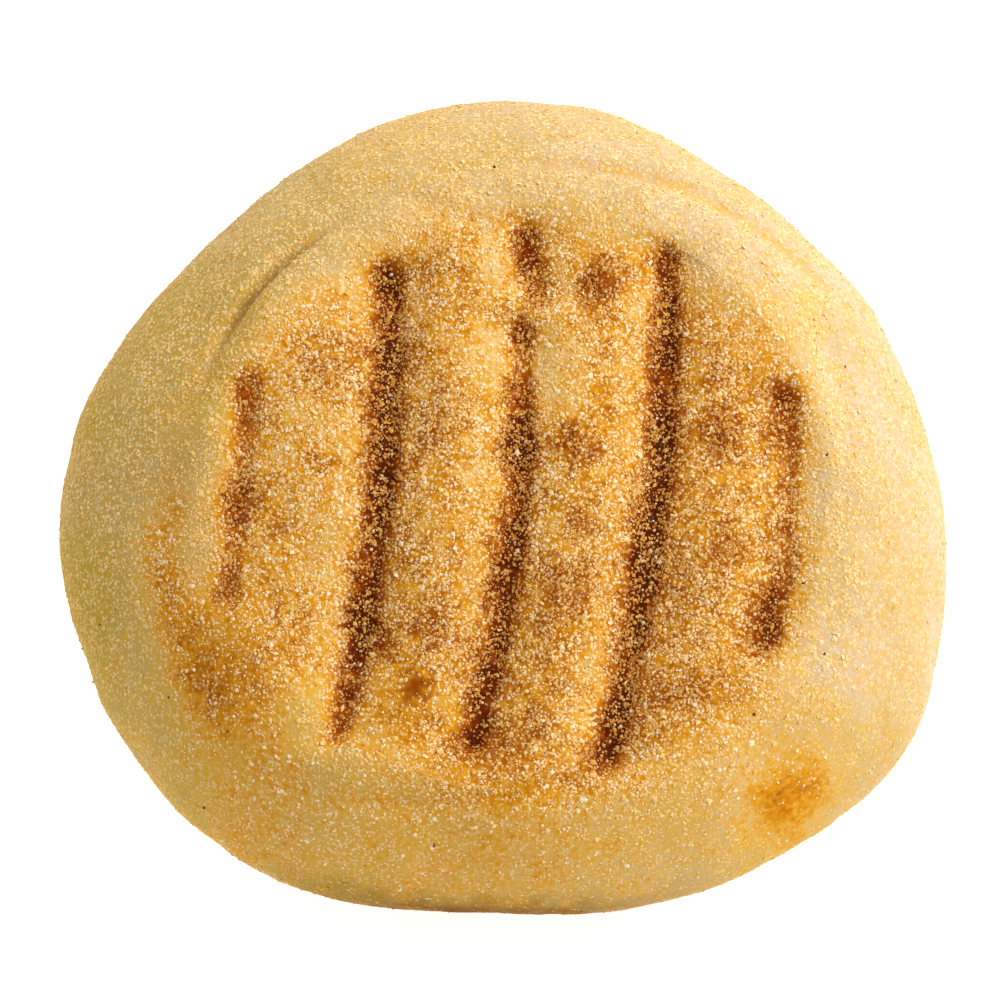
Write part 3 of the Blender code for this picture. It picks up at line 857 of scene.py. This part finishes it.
def dusting(weights, x, y, station):
    """How thickly meal lies here, relative: a weight for each zone, more on one side of the muffin.

    The upper side's share is a first part plus a second times cos(angle from the floured way), and towards
    the widest height, in bare and browned places and under painted shade less lies.
    """
    face, upper, lower, under = weights
    on_face = smooth(station, *FACE_ZONE)
    on_upper = smooth(station, *UPPER_ZONE) * (1.0 - on_face)
    on_under = 1.0 - smooth(station, *UNDER_ZONE)
    on_lower = np.clip(1.0 - on_face - on_upper - on_under, 0.0, 1.0)
    upper = upper * (FLOURED_SHARE[0] + FLOURED_SHARE[1] * np.cos(np.arctan2(y, x) - FLOURED_WAY))
    upper = upper * (1.0 - THINNED[0] * (1.0 - smooth(station, *THINNED[1:])))
    cover = face * on_face + upper * on_upper + lower * on_lower + under * on_under
    for *place, thinned in BARE_PLACES:
        cover = cover * (1.0 - thinned * bell(x, y, *place) * (station > WIDEST))
    cover = cover * (1.0 - PAINTED_SHADE_BARES * painted_shade_level(x, y, station, 0.0))
    return cover * (1.0 - rim_toast(x, y, station, 0.0))


def grain_places(form, count, weights, draw):
    """Angles and stations for the grains: cells drawn by area times dusting in clumps, one for each gap."""
    angle, station = crust_grid()
    grid = surface(form, angle, station)
    around = np.roll(grid, -1, axis=1)[:-1] - grid[:-1]
    along = grid[1:] - grid[:-1]
    area = np.linalg.norm(np.cross(around, along), axis=-1)
    middle = (station[1:] + station[:-1]) / 2
    x, y, z = np.moveaxis(grid[:-1], -1, 0)
    clumps = np.clip(1.0 + noise(x, y, z, CLUMPS), LEAST_MEAL, None)
    chance = area * clumps * dusting(weights, x, y, middle)
    drawn = draw.choice(chance.size, size=count * DRAWN_PER_GRAIN, p=(chance / chance.sum()).ravel())
    row, column = np.divmod(drawn, SECTORS)
    step = np.diff(station[:, 0])[row]
    stations = station[row, 0] + step * draw.uniform(size=len(row))
    angles = (column + draw.uniform(size=len(row))) * 2 * math.pi / SECTORS
    points = surface(form, angles, stations)
    cells = np.floor(points / GRAIN_GAP).astype(int)
    first = np.sort(np.unique(cells, axis=0, return_index=True)[1])[:count]
    return angles[first], stations[first]


def frames_at(form, angle, station):
    """Points with three axes: round the muffin, along the profile, and the normal, their cross product."""
    around = surface(form, angle + STEP, station) - surface(form, angle - STEP, station)
    ahead = surface(form, angle, np.clip(station + STEP, 0.0, LAST_STATION))
    along = ahead - surface(form, angle, np.clip(station - STEP, 0.0, LAST_STATION))
    normal = np.cross(around, along)
    normal = normal / np.linalg.norm(normal, axis=-1, keepdims=True)
    around = around / np.linalg.norm(around, axis=-1, keepdims=True)
    return surface(form, angle, station), np.stack([around, np.cross(normal, around), normal], axis=1)


def bipyramid(sides):
    """Corners and faces of a ring of that many corners with one point above and one below."""
    turn = np.arange(sides) * math.tau / sides
    ring = np.stack([np.cos(turn), np.sin(turn), np.zeros(sides)], axis=1)
    points = np.concatenate([ring, [(0.0, 0.0, 1.0), (0.0, 0.0, -1.0)]])
    here = np.arange(sides)
    after = (here + 1) % sides
    above = np.stack([here, after, np.full(sides, sides)], axis=1)
    below = np.stack([after, here, np.full(sides, sides + 1)], axis=1)
    return points, np.concatenate([above, below])


def grain_meshes(places, axes, sides, radii, proud, draw):
    """Corners and faces of all grains: bipyramids with uneven corners, stretched, tilted, spun and sunk."""
    points, faces = bipyramid(sides)
    count = len(places)
    points = points * draw.uniform(*CORNER_LIMITS, (count, len(points), 1))
    stretch = np.stack([draw.uniform(*limits, count) for limits in STRETCH_LIMITS], axis=1)
    points = points * (stretch * radii[:, None])[:, None, :]
    tilt = draw.normal(0.0, TILT_SPREAD, (count, 1))
    spin = draw.uniform(0.0, math.tau, (count, 1))
    x, y, z = np.moveaxis(points, -1, 0)
    x, z = turned(x, z, tilt)
    x, y = turned(x, y, spin)
    z = z + ((proud + draw.uniform(*SUNK_LIMITS, count)) * radii)[:, None]
    points = places[:, None, :] + np.einsum("gca,gab->gcb", np.stack([x, y, z], axis=-1), axes)
    points[..., 2] = np.maximum(points[..., 2], 0.0)
    corners = np.arange(count)[:, None, None] * (sides + 2) + faces
    return points.reshape(-1, 3), corners.reshape(-1, 3)


def grain_map(tones, burns):
    """Each grain lies on its map round (tone, burn), spread a little so that its faces have some width."""
    points, faces = bipyramid(GRAIN_SIDES)
    spread = MAP_GRAIN * points[faces][:, :, :2]
    centre = MAP_MARGIN + (1.0 - 2.0 * MAP_MARGIN) * np.stack([tones, burns], axis=1)
    return (centre[:, None, None, :] + spread).reshape(-1, 2)


def grain_tones(x, y, z, station, draw):
    """Tone and burn of each grain, from 0 to 1, by how toasted the dough is under it and how much painted
    shade lies there.
    """
    level = toast_level(x, y, z, station)
    dull = painted_shade_level(x, y, station, noise(x, y, z, RAGGED))
    # Grains under painted shade darken as if scorched
    scorch = np.maximum(smooth(level, *SCORCHED_FROM), dull)
    burns = scorch * draw.uniform(*BURN_LIMITS, len(level))
    browned = smooth(level, *BROWNED_FROM)
    # Grains paler towards the key light, partly painted light
    pale = draw.beta(*PALE_TONES, len(level)) * (PALE_TONE_SHARE[0] + PALE_TONE_SHARE[1] * side_tone(x, y, z))
    tones = browned * draw.beta(*BROWNED_TONES, len(level)) + (1.0 - browned) * pale
    darkened = draw.uniform(size=len(level)) > UNDULLED_SHARE
    return tones * (1.0 - SCORCH_DULLS * scorch * darkened), burns


def add_cornmeal(form, kind, material, coverage):
    """One kind of cornmeal as a joined mesh of closed grains."""
    name, usual, spread, proud, seed, weights = kind
    draw = np.random.default_rng(seed)
    angle, station = grain_places(form, int(GRAINS * coverage), weights, draw)
    places, axes = frames_at(form, angle, station)
    radii = np.clip(usual * np.exp(draw.normal(0.0, spread, len(places))), *RADIUS_LIMITS)
    points, faces = grain_meshes(places, axes, GRAIN_SIDES, radii, proud, draw)
    x, y, z = places.T
    tones, burns = grain_tones(x, y, z, station, draw)
    grains = mesh_object(name, (points + centring(form)) * MM, faces, material, False)
    add_bake_map(grains.data, grain_map(tones, burns))
    return grains


def add_bran(form, colours):
    """Flakes of bran at their places on the upper side, each a flat closed flake.

    The station of each is read from a table of the profile at its distance from the axis.
    """
    draw = np.random.default_rng(BRAN_SEED)
    x, y = np.array(BRAN).T
    angle, away = np.arctan2(y, x), np.hypot(x, y)
    table = np.linspace(LAST_STATION, WIDEST, TABLE_LENGTH)
    station = [np.interp(far, profile(form, turn, table)[0], table) for turn, far in zip(angle, away)]
    places, axes = frames_at(form, angle, np.array(station))
    radii = BRAN_RADIUS * draw.uniform(*BRAN_SPREAD, len(places))
    points, faces = grain_meshes(places, axes, BRAN_SIDES, radii, BRAN_PROUD, draw)
    return mesh_object("bran_flakes", (points + centring(form)) * MM, faces, bran_material(colours), False)


class MUFFIN_OT_crust(bpy.types.Operator):
    """Builds the toasted crust in place of the plain solid."""

    bl_idname = "muffin.crust"
    bl_label = "Toasted Crust"

    def execute(self, context):
        scene = context.scene
        crust = add_crust(millimetres(scene.muffin_dough), scene.muffin_crust)
        carry(crust)
        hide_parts(NODE)
        return {"FINISHED"}


class MUFFIN_OT_cornmeal(bpy.types.Operator):
    """Dusts the muffin with its cornmeal, one piece for each kind."""

    bl_idname = "muffin.cornmeal"
    bl_label = "Cornmeal"

    def execute(self, context):
        scene = context.scene
        form = millimetres(scene.muffin_dough)
        material = cornmeal_material(scene.muffin_cornmeal)
        for kind in CORNMEAL:
            carry(add_cornmeal(form, kind, material, scene.muffin_cornmeal.coverage))
        return {"FINISHED"}


class MUFFIN_OT_bran(bpy.types.Operator):
    """Sets the flakes of bran into the pale dough."""

    bl_idname = "muffin.bran"
    bl_label = "Bran"

    def execute(self, context):
        scene = context.scene
        carry(add_bran(millimetres(scene.muffin_dough), scene.muffin_cornmeal))
        return {"FINISHED"}


class MUFFIN_OT_stage(bpy.types.Operator):
    """Sets the pale floor, the soft lights and the camera."""

    bl_idname = "muffin.stage"
    bl_label = "Stage"

    def execute(self, context):
        scene = context.scene
        form = millimetres(scene.muffin_dough)
        add_floor(scene.muffin_stage)
        add_lights(scene, scene.muffin_stage)
        scene.camera = add_camera(form)
        scene.view_settings.view_transform = "Standard"
        return {"FINISHED"}


def add_floor(stage):
    """A flat square of matt paper under the muffin, pale enough to read as a white ground."""
    made, _, shader = new_material("matt_paper")
    glowing = {"Emission Color": WHITE, "Emission Strength": stage.glow}
    fill(shader, {"Base Color": (*stage.floor, 1.0), "Roughness": 0.9, **glowing})
    half, drop = 4.0, 0.02 * MM
    corners = np.array([(x * half, y * half, -drop) for x, y in ((-1, -1), (1, -1), (1, 1), (-1, 1))])
    mesh_object("floor", corners, np.arange(4)[None, :], made, False)


def add_lights(scene, stage):
    """Even white light from all round and one large soft key light from the right and behind."""
    world = bpy.data.worlds.new("studio")
    world.use_nodes = True
    fill(world.node_tree.nodes["Background"], {"Color": WHITE, "Strength": stage.surround})
    scene.world = world
    data = bpy.data.lights.new("key", "AREA")
    data.energy, data.size = stage.key_power, stage.key_width
    data.color = stage.key_colour
    key = bpy.data.objects.new("key", data)
    flat = math.cos(stage.key_lift)
    way = Vector((flat * math.cos(stage.key_turn), flat * math.sin(stage.key_turn), math.sin(stage.key_lift)))
    key.location = way * stage.key_distance
    key.rotation_euler = way.to_track_quat("Z", "Y").to_euler()
    scene.collection.objects.link(key)


def add_camera(form):
    """A long lens looking steeply down from the near side, with the muffin a little off the middle."""
    data = bpy.data.cameras.new("camera")
    data.sensor_width = SENSOR
    data.lens = SENSOR * CAMERA_DISTANCE / FRAME_WIDTH
    data.clip_start, data.clip_end = 0.05, 20.0
    camera = bpy.data.objects.new("camera", data)
    back = Vector((0.0, -math.cos(CAMERA_ELEVATION), math.sin(CAMERA_ELEVATION)))
    up = Vector((0.0, math.sin(CAMERA_ELEVATION), math.cos(CAMERA_ELEVATION)))
    aim = Vector(centring(form)) + Vector((FRAME_OFFSET[0], 0.0, form.equator_height)) + up * FRAME_OFFSET[1]
    camera.location = (aim + back * CAMERA_DISTANCE) * MM
    camera.rotation_euler = back.to_track_quat("Z", "Y").to_euler()
    bpy.context.scene.collection.objects.link(camera)
    return camera


class MUFFIN_PT_panel(bpy.types.Panel):
    """Lists the muffin's pieces and their settings."""

    bl_idname = "MUFFIN_PT_panel"
    bl_label = "English Muffin"
    bl_space_type = "VIEW_3D"
    bl_region_type = "UI"
    bl_category = "Muffin"

    def draw(self, context):
        for operator, groups in OPERATORS.items():
            box = self.layout.box()
            box.operator(operator.bl_idname)
            for settings in (getattr(context.scene, group) for group in groups):
                for name in settings.__annotations__:
                    box.prop(settings, name)


SETTINGS = {
    "muffin_dough": DoughSettings,
    "muffin_crust": CrustSettings,
    "muffin_cornmeal": CornmealSettings,
    "muffin_stage": StageSettings,
}
OPERATORS = {
    MUFFIN_OT_crust: ("muffin_dough", "muffin_crust"),
    MUFFIN_OT_cornmeal: ("muffin_cornmeal",),
    MUFFIN_OT_bran: (),
    MUFFIN_OT_stage: ("muffin_stage",),
}
CLASSES = (*SETTINGS.values(), *OPERATORS, MUFFIN_PT_panel)


def register():
    """Registers the classes and gives the scene its settings."""
    for kind in CLASSES:
        bpy.utils.register_class(kind)
    for name, group in SETTINGS.items():
        setattr(bpy.types.Scene, name, bpy.props.PointerProperty(type=group))


def unregister():
    """Takes the settings and the classes away again."""
    for name in SETTINGS:
        delattr(bpy.types.Scene, name)
    for kind in reversed(CLASSES):
        bpy.utils.unregister_class(kind)


def main():
    """Builds every piece and the stage."""
    register()
    bpy.ops.muffin.crust()
    bpy.ops.muffin.cornmeal()
    bpy.ops.muffin.bran()
    bpy.ops.muffin.stage()


if __name__ == "__main__":
    main()
